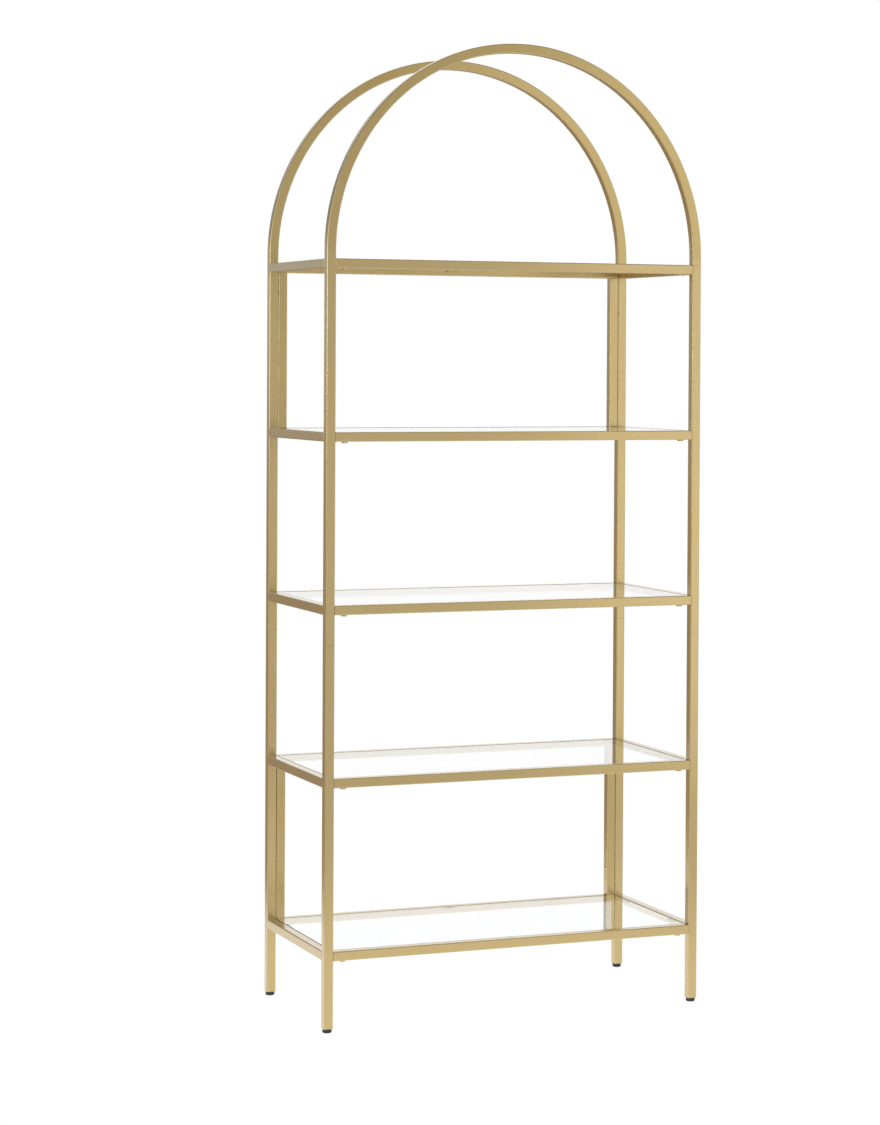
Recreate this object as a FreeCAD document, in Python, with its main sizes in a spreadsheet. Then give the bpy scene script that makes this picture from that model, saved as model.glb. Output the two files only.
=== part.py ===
import FreeCAD, Part
import math
import os
import re

import Sketcher

# An etagere of square steel tube: four posts, five framed glass shelves and two arches.
# Millimetres. The origin is on the floor under the middle of the unit.
# +X points to the right of someone facing it, +Y to the back and +Z up.

Vector = FreeCAD.Vector
Rotation = FreeCAD.Rotation
Placement = FreeCAD.Placement
Constraint = Sketcher.Constraint

X_AXIS = Vector(1, 0, 0)
Y_AXIS = Vector(0, 1, 0)
Z_AXIS = Vector(0, 0, 1)

UPRIGHT = Rotation()
TO_RIGHT = Rotation(Y_AXIS, 90)
TO_LEFT = Rotation(Y_AXIS, -90)
TO_BACK = Rotation(X_AXIS, -90)
QUARTER_TURN = Rotation(Z_AXIS, 90)

# Shelves are numbered from the top. Each back frame joins two of them.
SHELF_NUMBERS = range(1, 6)
BACK_FRAMES = {"upper": range(1, 3), "lower": range(4, 6)}
SIDES = {"left": -1, "right": 1}
ENDS = {"front": -1, "rear": 1}

# How far each side bend of an arch turns before the crown bend takes over, in degrees
ARCH_HAUNCH_ANGLE = 44

# Driving dimensions
SIZES = {
    # the unit as a whole
    "overall_width": 813,
    "overall_depth": 381,
    "lowest_shelf_height": 160,
    "shelf_pitch": 340,
    "post_split_drop": 78,
    "arch_leg": 16,
    "arch_side_radius": 430,
    # the square tube that everything is made of
    "tube_side": 19,
    "tube_wall": 1.2,
    "tube_corner": 2,
    "end_bevel": 0.5,
    # spigots inside the posts
    "spigot_wall": 1.5,
    "spigot_corner": 2,
    "post_spigot_reach": 40,
    "arch_spigot_depth": 40,
    # bolted rail ends
    "tongue_length": 45,
    "tongue_corner": 2,
    "tongue_clearance": 0.3,
    "rail_bolt_offset": 22,
    # bolts
    "bolt_diameter": 6,
    "bolt_hole_clearance": 0.3,
    "thread_clearance": 0.1,
    "bolt_head_diameter": 12,
    "bolt_head_edge": 0.8,
    "bolt_tip": 0.8,
    "bolt_socket_width": 4,
    "rail_bolt_head_height": 3,
    "rail_bolt_socket_depth": 1.8,
    "rail_bolt_grip": 10,
    "frame_bolt_socket_depth": 2,
    "frame_bolt_inset": 60,
    "countersink_clearance": 0.1,
    # rivet nuts between the back frames and the rear posts
    "frame_gap": 0.4,
    "rivet_nut_diameter": 9,
    "rivet_nut_depth": 11,
    "rivet_nut_flange_diameter": 13,
    # glass and what carries it
    "glass_thickness": 5,
    "glass_gap": 1.5,
    "glass_recess": 0.5,
    "glass_corner": 3,
    "glass_edge": 0.6,
    "tab_length": 24,
    "tab_width": 12,
    "tab_thickness": 3,
    "tab_corner": 2,
    "tab_inset": 60,
    "bumper_diameter": 8,
    "bumper_height": 1.5,
    "bumper_edge": 0.4,
    # levelling feet
    "foot_height": 8,
    "foot_diameter": 19,
    "foot_edge": 0.8,
    "foot_sole_edge": 2.5,
    "foot_socket_depth": 4,
    "stem_diameter": 8,
    "stem_length": 32,
    "stem_tip": 1,
    "stem_clearance": 0.3,
    "plug_length": 25,
    "plug_corner": 1.5,
}

# Sizes that follow from the driving dimensions, written as formulas of their names
TUBE_HALF = "(tube_side / 2)"
BORE_SIDE = "(tube_side - 2 * tube_wall)"
BORE_CORNER = "(tube_corner - tube_wall)"
POST_X = "(overall_width / 2 - tube_side / 2)"
POST_Y = "(overall_depth / 2 - tube_side / 2)"
INNER_WIDTH = "(overall_width - 2 * tube_side)"
INNER_DEPTH = "(overall_depth - 2 * tube_side)"
SIDE_BEND = "(arch_side_radius - tube_side / 2)"
CROWN_BEND = f"({SIDE_BEND} - ({SIDE_BEND} - {POST_X}) / cos({ARCH_HAUNCH_ANGLE}))"
BACK_RAIL_LENGTH = f"({INNER_WIDTH} - 2 * frame_gap)"
STILE_X = f"({INNER_WIDTH} / 2 - frame_gap - tube_side / 2)"
STILE_LENGTH = "(shelf_pitch - tube_side)"
TONGUE_SIDE = f"({BORE_SIDE} - 2 * tongue_clearance)"
BOLT_RADIUS = "(bolt_diameter / 2 - thread_clearance)"
PLAIN_HOLE_RADIUS = "(bolt_diameter / 2 + bolt_hole_clearance)"
THREAD_RADIUS = "(bolt_diameter / 2)"
RIVET_HOLE_RADIUS = "(rivet_nut_diameter / 2 + thread_clearance)"
HEAD_RADIUS = "(bolt_head_diameter / 2)"
RAIL_BOLT_LENGTH = "(rail_bolt_head_height + tube_wall + tongue_clearance + rail_bolt_grip)"
FRAME_BOLT_LENGTH = "(tube_side + frame_gap + rivet_nut_depth)"
SINK_DEPTH = f"({HEAD_RADIUS} - {BOLT_RADIUS})"
SINK_RADIUS = f"({HEAD_RADIUS} + countersink_clearance)"
GLASS_WIDTH = f"({INNER_WIDTH} - 2 * glass_gap)"
GLASS_DEPTH = f"({INNER_DEPTH} - 2 * glass_gap)"
GLASS_DROP = "(glass_recess + glass_thickness)"
TAB_DROP = f"({GLASS_DROP} + bumper_height + tab_thickness)"
TAB_X = f"({INNER_WIDTH} / 2 - tab_width / 2)"
TAB_Y = f"({INNER_DEPTH} / 2 - tab_width / 2)"
TAB_SPREAD = f"({INNER_DEPTH} / 2 - tab_inset)"
BUMPER_X = f"({INNER_WIDTH} / 2 - (tab_width + glass_gap) / 2)"
BUMPER_Y = f"({INNER_DEPTH} / 2 - (tab_width + glass_gap) / 2)"
STEM_FOOT = "(foot_height - foot_socket_depth)"


def shelf_height(number):
    """Formula for the height of the top of a shelf's rails above the floor."""
    return f"(lowest_shelf_height + {max(SHELF_NUMBERS) - number} * shelf_pitch)"


# The arches stand on the posts at the top shelf, and the posts are split under the middle shelf.
POST_TOP = shelf_height(1)
POST_SPLIT = f"({shelf_height(3)} - post_split_drop)"


doc = FreeCAD.newDocument("etagere")
sheet = doc.addObject("Spreadsheet::Sheet", "Sizes")
for row, (alias, size) in enumerate(SIZES.items(), start=1):
    sheet.set(f"A{row}", alias)
    sheet.set(f"B{row}", str(size))
    sheet.setAlias(f"B{row}", alias)
doc.recompute()

nodes = []


def cells(formula):
    """The formula with each size's name turned into a reference to its cell."""
    names = "|".join(SIZES)
    return re.sub(rf"\b({names})\b", r"Sizes.\1", formula)


def value(formula):
    """The number that a formula of sizes gives now."""
    return float(sheet.evalExpression(cells(formula)))


def bind(target, name, formula):
    """Ties a property to a formula of sizes."""
    target.setExpression(name, cells(formula))


def put(target, turn, x, y, z):
    """Turns a piece and ties its place to formulas of sizes."""
    target.Placement = Placement(Vector(value(x), value(y), value(z)), turn)
    for axis, formula in (("x", x), ("y", y), ("z", z)):
        bind(target, f"Placement.Base.{axis}", formula)


def new_body(label):
    """An empty body with its label."""
    body = doc.addObject("PartDesign::Body", label)
    body.Label = label
    return body


def new_node(label):
    """An empty body that is a piece of the unit and gets a file of its own."""
    body = new_body(label)
    nodes.append(body)
    return body


def new_sketch(body, role):
    """An empty sketch on one of the body's own origin planes."""
    sketch = body.newObject("Sketcher::SketchObject", f"{body.Label}_sketch")
    plane = next(item for item in body.Origin.OriginFeatures if item.Role == role)
    sketch.AttachmentSupport = [(plane, "")]
    sketch.MapMode = "FlatFace"
    return sketch


def dimension(sketch, kind, places, formula):
    """Adds one dimension to a sketch and ties it to a formula of sizes."""
    index = sketch.addConstraint(Constraint(kind, *places, value(formula)))
    bind(sketch, f"Constraints[{index}]", formula)


def rounded_rectangle(sketch, width, depth, corner):
    """Draws a rectangle with rounded corners about the sketch's origin."""
    half_width, half_depth, radius = value(width) / 2, value(depth) / 2, value(corner)
    across, along = half_width - radius, half_depth - radius
    first = sketch.GeometryCount
    ends = [
        ((-across, -half_depth), (across, -half_depth)),
        ((half_width, -along), (half_width, along)),
        ((across, half_depth), (-across, half_depth)),
        ((-half_width, along), (-half_width, -along)),
    ]
    centres = [(across, -along), (across, along), (-across, along), (-across, -along)]
    for side, (start, end) in enumerate(ends):
        sketch.addGeometry(Part.LineSegment(Vector(*start), Vector(*end)))
        circle = Part.Circle(Vector(*centres[side]), Z_AXIS, radius)
        sketch.addGeometry(Part.ArcOfCircle(circle, (side - 1) * math.pi / 2, side * math.pi / 2))
    bottom, right, top, left = (first + 2 * side for side in range(4))
    arcs = [bottom + 1, right + 1, top + 1, left + 1]
    joints = [Constraint("Tangent", first + n, 2, first + (n + 1) % 8, 1) for n in range(8)]
    level = [Constraint("Horizontal", bottom), Constraint("Horizontal", top)]
    plumb = [Constraint("Vertical", left), Constraint("Vertical", right)]
    equal = [Constraint("Equal", arcs[0], arc) for arc in arcs[1:]]
    centred = [Constraint("Symmetric", arcs[0], 3, arcs[2], 3, -1, 1)]
    sketch.addConstraint(joints + level + plumb + equal + centred)
    dimension(sketch, "DistanceX", (left, 1, right, 1), width)
    dimension(sketch, "DistanceY", (bottom, 1, top, 1), depth)
    dimension(sketch, "Radius", (arcs[0],), corner)


def circle_at(sketch, radius, height):
    """Draws a circle on the sketch's upright axis, at a height above its origin."""
    centre = Vector(0, value(height), 0)
    circle = sketch.addGeometry(Part.Circle(centre, Z_AXIS, value(radius)))
    sketch.addConstraint(Constraint("PointOnObject", circle, 3, -2))
    if height == "0":
        sketch.addConstraint(Constraint("PointOnObject", circle, 3, -1))
    else:
        dimension(sketch, "DistanceY", (-1, 1, circle, 3), height)
    dimension(sketch, "Radius", (circle,), radius)


def outline(sketch, points):
    """Draws a closed outline through points given as pairs of formulas, none of them negative."""
    places = [Vector(value(x), value(y), 0) for x, y in points]
    first = sketch.GeometryCount
    count = len(points)
    for n in range(count):
        sketch.addGeometry(Part.LineSegment(places[n], places[(n + 1) % count]))
    for n in range(count):
        sketch.addConstraint(Constraint("Coincident", first + n, 2, first + (n + 1) % count, 1))
    for n, (x, y) in enumerate(points):
        corner = (first + n, 1)
        if x == "0":
            sketch.addConstraint(Constraint("PointOnObject", *corner, -2))
        else:
            dimension(sketch, "DistanceX", (-1, 1, *corner), x)
        if y == "0":
            sketch.addConstraint(Constraint("PointOnObject", *corner, -1))
        else:
            dimension(sketch, "DistanceY", (-1, 1, *corner), y)


def pad(body, sketch, length):
    """Raises a sketch to a solid of the given length along the sketch's normal."""
    feature = body.newObject("PartDesign::Pad", f"{body.Label}_pad")
    feature.Profile = sketch
    bind(feature, "Length", length)
    return feature


def revolve(body, points):
    """Turns an outline of radius and height pairs about the body's upright axis."""
    sketch = new_sketch(body, "XZ_Plane")
    outline(sketch, points)
    feature = body.newObject("PartDesign::Revolution", f"{body.Label}_revolution")
    feature.Profile = sketch
    feature.ReferenceAxis = (sketch, ["V_Axis"])
    feature.Angle = 360


def cut(body, sketch, depth, reverse=False, both_ways=False):
    """Sinks a sketch into the body."""
    doc.recompute()
    before = body.Shape.Volume
    feature = body.newObject("PartDesign::Pocket", f"{body.Label}_pocket")
    feature.Profile = sketch
    feature.Reversed = reverse
    feature.Midplane = both_ways
    bind(feature, "Length", depth)
    expect_less(body, before)


def side_holes(body, radius, heights, wall):
    """Drills holes at heights along a tube, through its +X wall, its -X wall or both of them."""
    sketch = new_sketch(body, "YZ_Plane")
    for height in heights:
        circle_at(sketch, radius, height)
    cut(body, sketch, "tube_side", reverse=wall == "+X", both_ways=wall == "both")


def countersink(body, height, wall):
    """Widens the mouth of a hole in a tube's +X or -X wall to a right-angled cone for a flush bolt head."""
    doc.recompute()
    before = body.Shape.Volume
    cone = body.newObject("PartDesign::SubtractiveCone", f"{body.Label}_countersink")
    bind(cone, "Radius1", SINK_RADIUS)
    bind(cone, "Radius2", f"({SINK_RADIUS} - {SINK_DEPTH})")
    bind(cone, "Height", SINK_DEPTH)
    face = TUBE_HALF if wall == "+X" else f"-1 * {TUBE_HALF}"
    put(cone, TO_LEFT if wall == "+X" else TO_RIGHT, face, "0", height)
    expect_less(body, before)


def expect_less(body, before):
    """Makes sure that a cut took something away from the volume that the body had before."""
    doc.recompute()
    if not body.Shape.Volume < before:
        raise RuntimeError(f"{body.Label}: a cut took nothing away")


def bevel_ends(body, feature, heights, axis_distance):
    """Eases the outer edges of a tube's ends that lie at the given heights.

    axis_distance gives how far a point is from the tube's axis, measured square to the faces.
    """
    doc.recompute()
    between = (value("tube_side") + value(BORE_SIDE)) / 4
    near = value("tube_wall") / 10
    names = []
    for number, edge in enumerate(feature.Shape.Edges, start=1):
        points = [vertex.Point for vertex in edge.Vertexes]
        at_end = any(all(abs(point.z - height) < near for point in points) for height in heights)
        if at_end and all(axis_distance(point) > between for point in points):
            names.append(f"Edge{number}")
    chamfer = body.newObject("PartDesign::Chamfer", f"{body.Label}_bevel")
    chamfer.Base = (feature, names)
    bind(chamfer, "Size", "end_bevel")


def square_tube(label, length, turn, place):
    """A tube from its own origin along its own Z, as a piece of the unit."""
    body = new_node(label)
    sketch = new_sketch(body, "XY_Plane")
    rounded_rectangle(sketch, "tube_side", "tube_side", "tube_corner")
    rounded_rectangle(sketch, BORE_SIDE, BORE_SIDE, BORE_CORNER)
    pad(body, sketch, length)
    put(body, turn, *place)
    return body


def post(label, length, place):
    """One half of a post, with its end edges eased so that the seam shows."""
    body = square_tube(label, length, UPRIGHT, place)
    tube = body.Tip
    bevel_ends(body, tube, (0, value(length)), lambda point: max(abs(point.x), abs(point.y)))
    return body


def posts():
    """The four posts, each an upper and a lower length."""
    lower_length = f"({POST_SPLIT} - foot_height)"
    upper_length = f"({POST_TOP} - {POST_SPLIT})"
    for end, toward_back in ENDS.items():
        for side, toward_right in SIDES.items():
            x, y = f"{toward_right} * {POST_X}", f"{toward_back} * {POST_Y}"
            lower = post(f"{end}_{side}_lower_post", lower_length, (x, y, "foot_height"))
            upper = post(f"{end}_{side}_upper_post", upper_length, (x, y, POST_SPLIT))
            if end == "rear":
                inner_wall = "+X" if side == "left" else "-X"
                rivet_holes(lower, "lower", "foot_height", inner_wall)
                rivet_holes(upper, "upper", POST_SPLIT, inner_wall)


def rivet_holes(body, frame, foot, wall):
    """Drills a rear post, whose foot is at the given height, for the rivet nuts of a back frame."""
    heights = [f"({height} - {foot})" for height in frame_bolt_heights(frame)]
    side_holes(body, RIVET_HOLE_RADIUS, heights, wall)


def frame_bolt_heights(frame):
    """Formulas for the heights of the two bolts in each stile of a back frame."""
    upper_shelf, lower_shelf = BACK_FRAMES[frame]
    top = f"({shelf_height(upper_shelf)} - tube_side - frame_bolt_inset)"
    bottom = f"({shelf_height(lower_shelf)} + frame_bolt_inset)"
    return top, bottom


def arch_path(sketch):
    """Draws the line that an arch's tube is bent along: two legs, two side bends and the crown."""
    span, leg = value(POST_X), value("arch_leg")
    side, crown = value(SIDE_BEND), value(CROWN_BEND)
    turn = math.radians(ARCH_HAUNCH_ANGLE)
    crown_rise = (side - span) * math.tan(turn)
    right_centre = Vector(span - side, leg, 0)
    left_centre = Vector(side - span, leg, 0)
    crown_centre = Vector(0, leg + crown_rise, 0)
    sketch.addGeometry(Part.LineSegment(Vector(span, 0, 0), Vector(span, leg, 0)))
    for centre, radius, start, end in (
        (right_centre, side, 0, turn),
        (crown_centre, crown, turn, math.pi - turn),
        (left_centre, side, math.pi - turn, math.pi),
    ):
        sketch.addGeometry(Part.ArcOfCircle(Part.Circle(centre, Z_AXIS, radius), start, end))
    sketch.addGeometry(Part.LineSegment(Vector(-span, leg, 0), Vector(-span, 0, 0)))
    right_leg, right_bend, crown_bend, left_bend, left_leg = range(5)
    sketch.addConstraint([Constraint("Tangent", n, 2, n + 1, 1) for n in range(left_leg)])
    sketch.addConstraint([
        Constraint("Vertical", right_leg),
        Constraint("Vertical", left_leg),
        Constraint("Equal", right_leg, left_leg),
        Constraint("Equal", right_bend, left_bend),
        Constraint("PointOnObject", right_leg, 1, -1),
        Constraint("PointOnObject", left_leg, 2, -1),
        Constraint("PointOnObject", crown_bend, 3, -2),
    ])
    dimension(sketch, "DistanceX", (left_leg, 2, right_leg, 1), f"(2 * {POST_X})")
    dimension(sketch, "DistanceY", (right_leg, 1, right_leg, 2), "arch_leg")
    dimension(sketch, "Radius", (right_bend,), SIDE_BEND)
    dimension(sketch, "Radius", (crown_bend,), CROWN_BEND)


def arches():
    """The two arches: a tube bent in three tangent bends, on short straight legs."""
    span = value(POST_X)
    for end, toward_back in ENDS.items():
        body = new_node(f"{end}_arch")
        path = new_sketch(body, "XZ_Plane")
        arch_path(path)
        section = new_sketch(body, "XY_Plane")
        bind(section, "AttachmentOffset.Base.x", POST_X)
        rounded_rectangle(section, "tube_side", "tube_side", "tube_corner")
        rounded_rectangle(section, BORE_SIDE, BORE_SIDE, BORE_CORNER)
        doc.recompute()
        pipe = body.newObject("PartDesign::AdditivePipe", f"{body.Label}_pipe")
        pipe.Profile = section
        pipe.Spine = (path, [])
        bevel_ends(body, pipe, (0,), lambda point: max(abs(abs(point.x) - span), abs(point.y)))
        put(body, UPRIGHT, "0", f"{toward_back} * {POST_Y}", POST_TOP)


def bolted_rail(label, y, number):
    """A rail between two posts, with a bolt hole in the underside of each end."""
    z = f"({shelf_height(number)} - {TUBE_HALF})"
    body = square_tube(label, INNER_WIDTH, TO_RIGHT, (f"-1 * {INNER_WIDTH} / 2", y, z))
    holes = ("rail_bolt_offset", f"({INNER_WIDTH} - rail_bolt_offset)")
    side_holes(body, PLAIN_HOLE_RADIUS, holes, "+X")


def rails():
    """The rails of the five shelf frames."""
    back_frame_shelves = [number for pair in BACK_FRAMES.values() for number in pair]
    for number in SHELF_NUMBERS:
        z = f"({shelf_height(number)} - {TUBE_HALF})"
        bolted_rail(f"front_rail_{number}", f"-1 * {POST_Y}", number)
        if number in back_frame_shelves:
            start = f"-1 * {BACK_RAIL_LENGTH} / 2"
            square_tube(f"rear_rail_{number}", BACK_RAIL_LENGTH, TO_RIGHT, (start, POST_Y, z))
        else:
            bolted_rail(f"rear_rail_{number}", POST_Y, number)
        for side, toward_right in SIDES.items():
            place = (f"{toward_right} * {POST_X}", f"-1 * {INNER_DEPTH} / 2", z)
            square_tube(f"{side}_rail_{number}", INNER_DEPTH, TO_BACK, place)


def stiles():
    """The uprights of the two back frames, drilled through and countersunk for the frame bolts."""
    holes = ("frame_bolt_inset", f"({STILE_LENGTH} - frame_bolt_inset)")
    for frame, (_, lower_shelf) in BACK_FRAMES.items():
        for side, toward_right in SIDES.items():
            place = (f"{toward_right} * {STILE_X}", POST_Y, shelf_height(lower_shelf))
            body = square_tube(f"{frame}_{side}_stile", STILE_LENGTH, UPRIGHT, place)
            side_holes(body, PLAIN_HOLE_RADIUS, holes, "both")
            for height in holes:
                countersink(body, height, "+X" if side == "left" else "-X")


def glass_panes():
    """The five panes, let into the shelf frames, with their edges ground."""
    for number in SHELF_NUMBERS:
        body = new_node(f"glass_pane_{number}")
        sketch = new_sketch(body, "XY_Plane")
        rounded_rectangle(sketch, GLASS_WIDTH, GLASS_DEPTH, "glass_corner")
        plate = pad(body, sketch, "glass_thickness")
        doc.recompute()
        faces = plate.Shape.Faces
        flat = [f"Face{n}" for n, face in enumerate(faces, start=1) if abs(face.normalAt(0, 0).z) > 0.5]
        chamfer = body.newObject("PartDesign::Chamfer", f"{body.Label}_edge")
        chamfer.Base = (plate, flat)
        bind(chamfer, "Size", "glass_edge")
        put(body, UPRIGHT, "0", "0", f"({shelf_height(number)} - {GLASS_DROP})")


def feet():
    """The levelling feet: a moulded pad and the threaded stem that stands in it."""
    radius, edge, sole = "(foot_diameter / 2)", "foot_edge", "foot_sole_edge"
    socket = "(stem_diameter / 2 + thread_clearance)"
    pad_points = [
        ("0", "0"),
        (f"({radius} - {sole})", "0"),
        (radius, sole),
        (radius, f"(foot_height - {edge})"),
        (f"({radius} - {edge})", "foot_height"),
        (socket, "foot_height"),
        (socket, STEM_FOOT),
        ("0", STEM_FOOT),
    ]
    stem_points = [
        ("0", "0"),
        ("(stem_diameter / 2)", "0"),
        ("(stem_diameter / 2)", "(stem_length - stem_tip)"),
        ("(stem_diameter / 2 - stem_tip)", "stem_length"),
        ("0", "stem_length"),
    ]
    for end, toward_back in ENDS.items():
        for side, toward_right in SIDES.items():
            x, y = f"{toward_right} * {POST_X}", f"{toward_back} * {POST_Y}"
            foot = new_node(f"{end}_{side}_foot_pad")
            revolve(foot, pad_points)
            put(foot, UPRIGHT, x, y, "0")
            stem = new_node(f"{end}_{side}_foot_stem")
            revolve(stem, stem_points)
            put(stem, UPRIGHT, x, y, STEM_FOOT)


def bolt(label, head, socket_depth, length):
    """A bolt standing on its head, a given outline from the axis to the shank, with a hexagon socket."""
    body = new_body(label)
    shank = [
        (BOLT_RADIUS, f"({length} - bolt_tip)"),
        (f"({BOLT_RADIUS} - bolt_tip)", length),
        ("0", length),
    ]
    revolve(body, head + shank)
    sketch = new_sketch(body, "XY_Plane")
    reach = value("bolt_socket_width") / math.sqrt(3)
    turns = [n * math.pi / 3 for n in range(6)]
    corners = [Vector(reach * math.cos(turn), reach * math.sin(turn), 0) for turn in turns]
    for n in range(6):
        sketch.addGeometry(Part.LineSegment(corners[n], corners[(n + 1) % 6]))
    guide = sketch.addGeometry(Part.Circle(Vector(), Z_AXIS, reach), True)
    sketch.addConstraint(Constraint("Coincident", guide, 3, -1, 1))
    for n in range(6):
        sketch.addConstraint(Constraint("Coincident", n, 2, (n + 1) % 6, 1))
        sketch.addConstraint(Constraint("PointOnObject", n, 1, guide))
    sketch.addConstraint([Constraint("Equal", 0, n) for n in range(1, 6)])
    sketch.addConstraint(Constraint("PointOnObject", 0, 1, -1))
    dimension(sketch, "Radius", (guide,), "(bolt_socket_width / sqrt(3))")
    cut(body, sketch, socket_depth, reverse=True)
    return body


def square_bar(label, side, corner, length):
    """A rounded square bar along its own Z."""
    body = new_body(label)
    sketch = new_sketch(body, "XY_Plane")
    rounded_rectangle(sketch, side, side, corner)
    pad(body, sketch, length)
    return body


def spigot(label, length):
    """A length of smaller square tube that fills the post's bore."""
    body = new_body(label)
    sketch = new_sketch(body, "XY_Plane")
    inner_side = f"({BORE_SIDE} - 2 * spigot_wall)"
    rounded_rectangle(sketch, BORE_SIDE, BORE_SIDE, "spigot_corner")
    rounded_rectangle(sketch, inner_side, inner_side, "(spigot_corner - spigot_wall)")
    pad(body, sketch, length)
    return body


def tongue():
    """The bar in the end of a bolted rail, with a threaded hole for the rail bolt."""
    body = square_bar("rail_tongue", TONGUE_SIDE, "tongue_corner", "tongue_length")
    side_holes(body, THREAD_RADIUS, ["rail_bolt_offset"], "both")
    return body


def rivet_nut():
    """A flanged nut: the flange fills the gap to the back frame and the sleeve goes into the post."""
    body = new_body("rivet_nut")
    flange, sleeve = "(rivet_nut_flange_diameter / 2)", "(rivet_nut_diameter / 2)"
    inner_end = "(frame_gap + rivet_nut_depth)"
    revolve(body, [
        (THREAD_RADIUS, "0"),
        (flange, "0"),
        (flange, "frame_gap"),
        (sleeve, "frame_gap"),
        (sleeve, inner_end),
        (THREAD_RADIUS, inner_end),
    ])
    return body


def foot_plug():
    """The plug in a post's bottom end, bored for the foot's stem."""
    body = new_body("foot_plug")
    sketch = new_sketch(body, "XY_Plane")
    rounded_rectangle(sketch, BORE_SIDE, BORE_SIDE, "plug_corner")
    circle_at(sketch, "(stem_diameter / 2 + stem_clearance)", "0")
    pad(body, sketch, "plug_length")
    return body


def glass_tab():
    """A small plate welded to the inside of a rail, its length along X."""
    body = new_body("glass_tab")
    sketch = new_sketch(body, "XY_Plane")
    rounded_rectangle(sketch, "tab_length", "tab_width", "tab_corner")
    pad(body, sketch, "tab_thickness")
    return body


def bumper():
    """A clear pad between a tab and the glass."""
    body = new_body("bumper")
    radius = "(bumper_diameter / 2)"
    revolve(body, [
        ("0", "0"),
        (radius, "0"),
        (radius, "(bumper_height - bumper_edge)"),
        (f"({radius} - bumper_edge)", "bumper_height"),
        ("0", "bumper_height"),
    ])
    return body


def group(label, pattern, places):
    """A node of equal separate solids: copies of one pattern piece, each turned and placed."""
    doc.recompute()
    copies = []
    for turn, x, y, z in places:
        copy = pattern.Shape.copy()
        copy.Placement = Placement(Vector(value(x), value(y), value(z)), turn)
        copies.append(copy)
    node = doc.addObject("Part::Feature", label)
    node.Label = label
    node.Shape = Part.makeCompound(copies)
    node.Placement = Placement()
    nodes.append(node)


def post_places(z):
    """Places on the axes of the four posts at one height."""
    return [
        (UPRIGHT, f"{toward_right} * {POST_X}", f"{toward_back} * {POST_Y}", z)
        for toward_back in ENDS.values()
        for toward_right in SIDES.values()
    ]


def bolted_rail_places():
    """The depth and the shelf of each bolted rail."""
    fronts = [(f"-1 * {POST_Y}", number) for number in SHELF_NUMBERS]
    framed = [number for pair in BACK_FRAMES.values() for number in pair]
    rears = [(POST_Y, number) for number in SHELF_NUMBERS if number not in framed]
    return fronts + rears


def rail_fastenings():
    """The tongues in the bolted rails' ends, and the bolts that come up into them."""
    tongues, bolts = [], []
    bolt_x = f"({INNER_WIDTH} / 2 - rail_bolt_offset)"
    for y, number in bolted_rail_places():
        middle = f"({shelf_height(number)} - {TUBE_HALF})"
        head = f"({shelf_height(number)} - tube_side - rail_bolt_head_height)"
        tongues.append((TO_RIGHT, f"-1 * {INNER_WIDTH} / 2", y, middle))
        tongues.append((TO_LEFT, f"{INNER_WIDTH} / 2", y, middle))
        bolts += [(UPRIGHT, f"{toward_right} * {bolt_x}", y, head) for toward_right in SIDES.values()]
    group("rail_tongues", tongue(), tongues)
    low_head = [
        ("0", "0"),
        (f"({HEAD_RADIUS} - bolt_head_edge)", "0"),
        (HEAD_RADIUS, "bolt_head_edge"),
        (HEAD_RADIUS, "rail_bolt_head_height"),
        (BOLT_RADIUS, "rail_bolt_head_height"),
    ]
    pattern = bolt("rail_bolt", low_head, "rail_bolt_socket_depth", RAIL_BOLT_LENGTH)
    group("rail_bolts", pattern, bolts)


def frame_fastenings():
    """The rivet nuts in the rear posts and the countersunk bolts through the stiles."""
    nuts, bolts = [], []
    nut_x = f"({INNER_WIDTH} / 2 - frame_gap)"
    head_x = f"({STILE_X} - {TUBE_HALF})"
    for frame in BACK_FRAMES:
        for z in frame_bolt_heights(frame):
            for toward_right, turn in ((-1, TO_LEFT), (1, TO_RIGHT)):
                nuts.append((turn, f"{toward_right} * {nut_x}", POST_Y, z))
                bolts.append((turn, f"{toward_right} * {head_x}", POST_Y, z))
    group("frame_rivet_nuts", rivet_nut(), nuts)
    sunk_head = [("0", "0"), (HEAD_RADIUS, "0"), (BOLT_RADIUS, SINK_DEPTH)]
    pattern = bolt("frame_bolt", sunk_head, "frame_bolt_socket_depth", FRAME_BOLT_LENGTH)
    group("frame_bolts", pattern, bolts)


def glass_supports():
    """Six tabs and six bumpers under each pane: two on each side rail, one on the front and rear rails."""
    tabs, bumpers = [], []
    for number in SHELF_NUMBERS:
        tab_z = f"({shelf_height(number)} - {TAB_DROP})"
        bumper_z = f"({tab_z} + tab_thickness)"
        for toward in (-1, 1):
            tabs.append((UPRIGHT, "0", f"{toward} * {TAB_Y}", tab_z))
            bumpers.append((UPRIGHT, "0", f"{toward} * {BUMPER_Y}", bumper_z))
            for toward_back in ENDS.values():
                y = f"{toward_back} * {TAB_SPREAD}"
                tabs.append((QUARTER_TURN, f"{toward} * {TAB_X}", y, tab_z))
                bumpers.append((UPRIGHT, f"{toward} * {BUMPER_X}", y, bumper_z))
    group("glass_tabs", glass_tab(), tabs)
    group("glass_bumpers", bumper(), bumpers)


def inner_pieces():
    """The spigots and plugs inside the posts."""
    arch_spigot = spigot("arch_spigot", "(arch_spigot_depth + arch_leg)")
    group("arch_spigots", arch_spigot, post_places(f"({POST_TOP} - arch_spigot_depth)"))
    post_spigot = spigot("post_spigot", "(2 * post_spigot_reach)")
    group("post_spigots", post_spigot, post_places(f"({POST_SPLIT} - post_spigot_reach)"))
    group("foot_plugs", foot_plug(), post_places("foot_height"))


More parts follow.
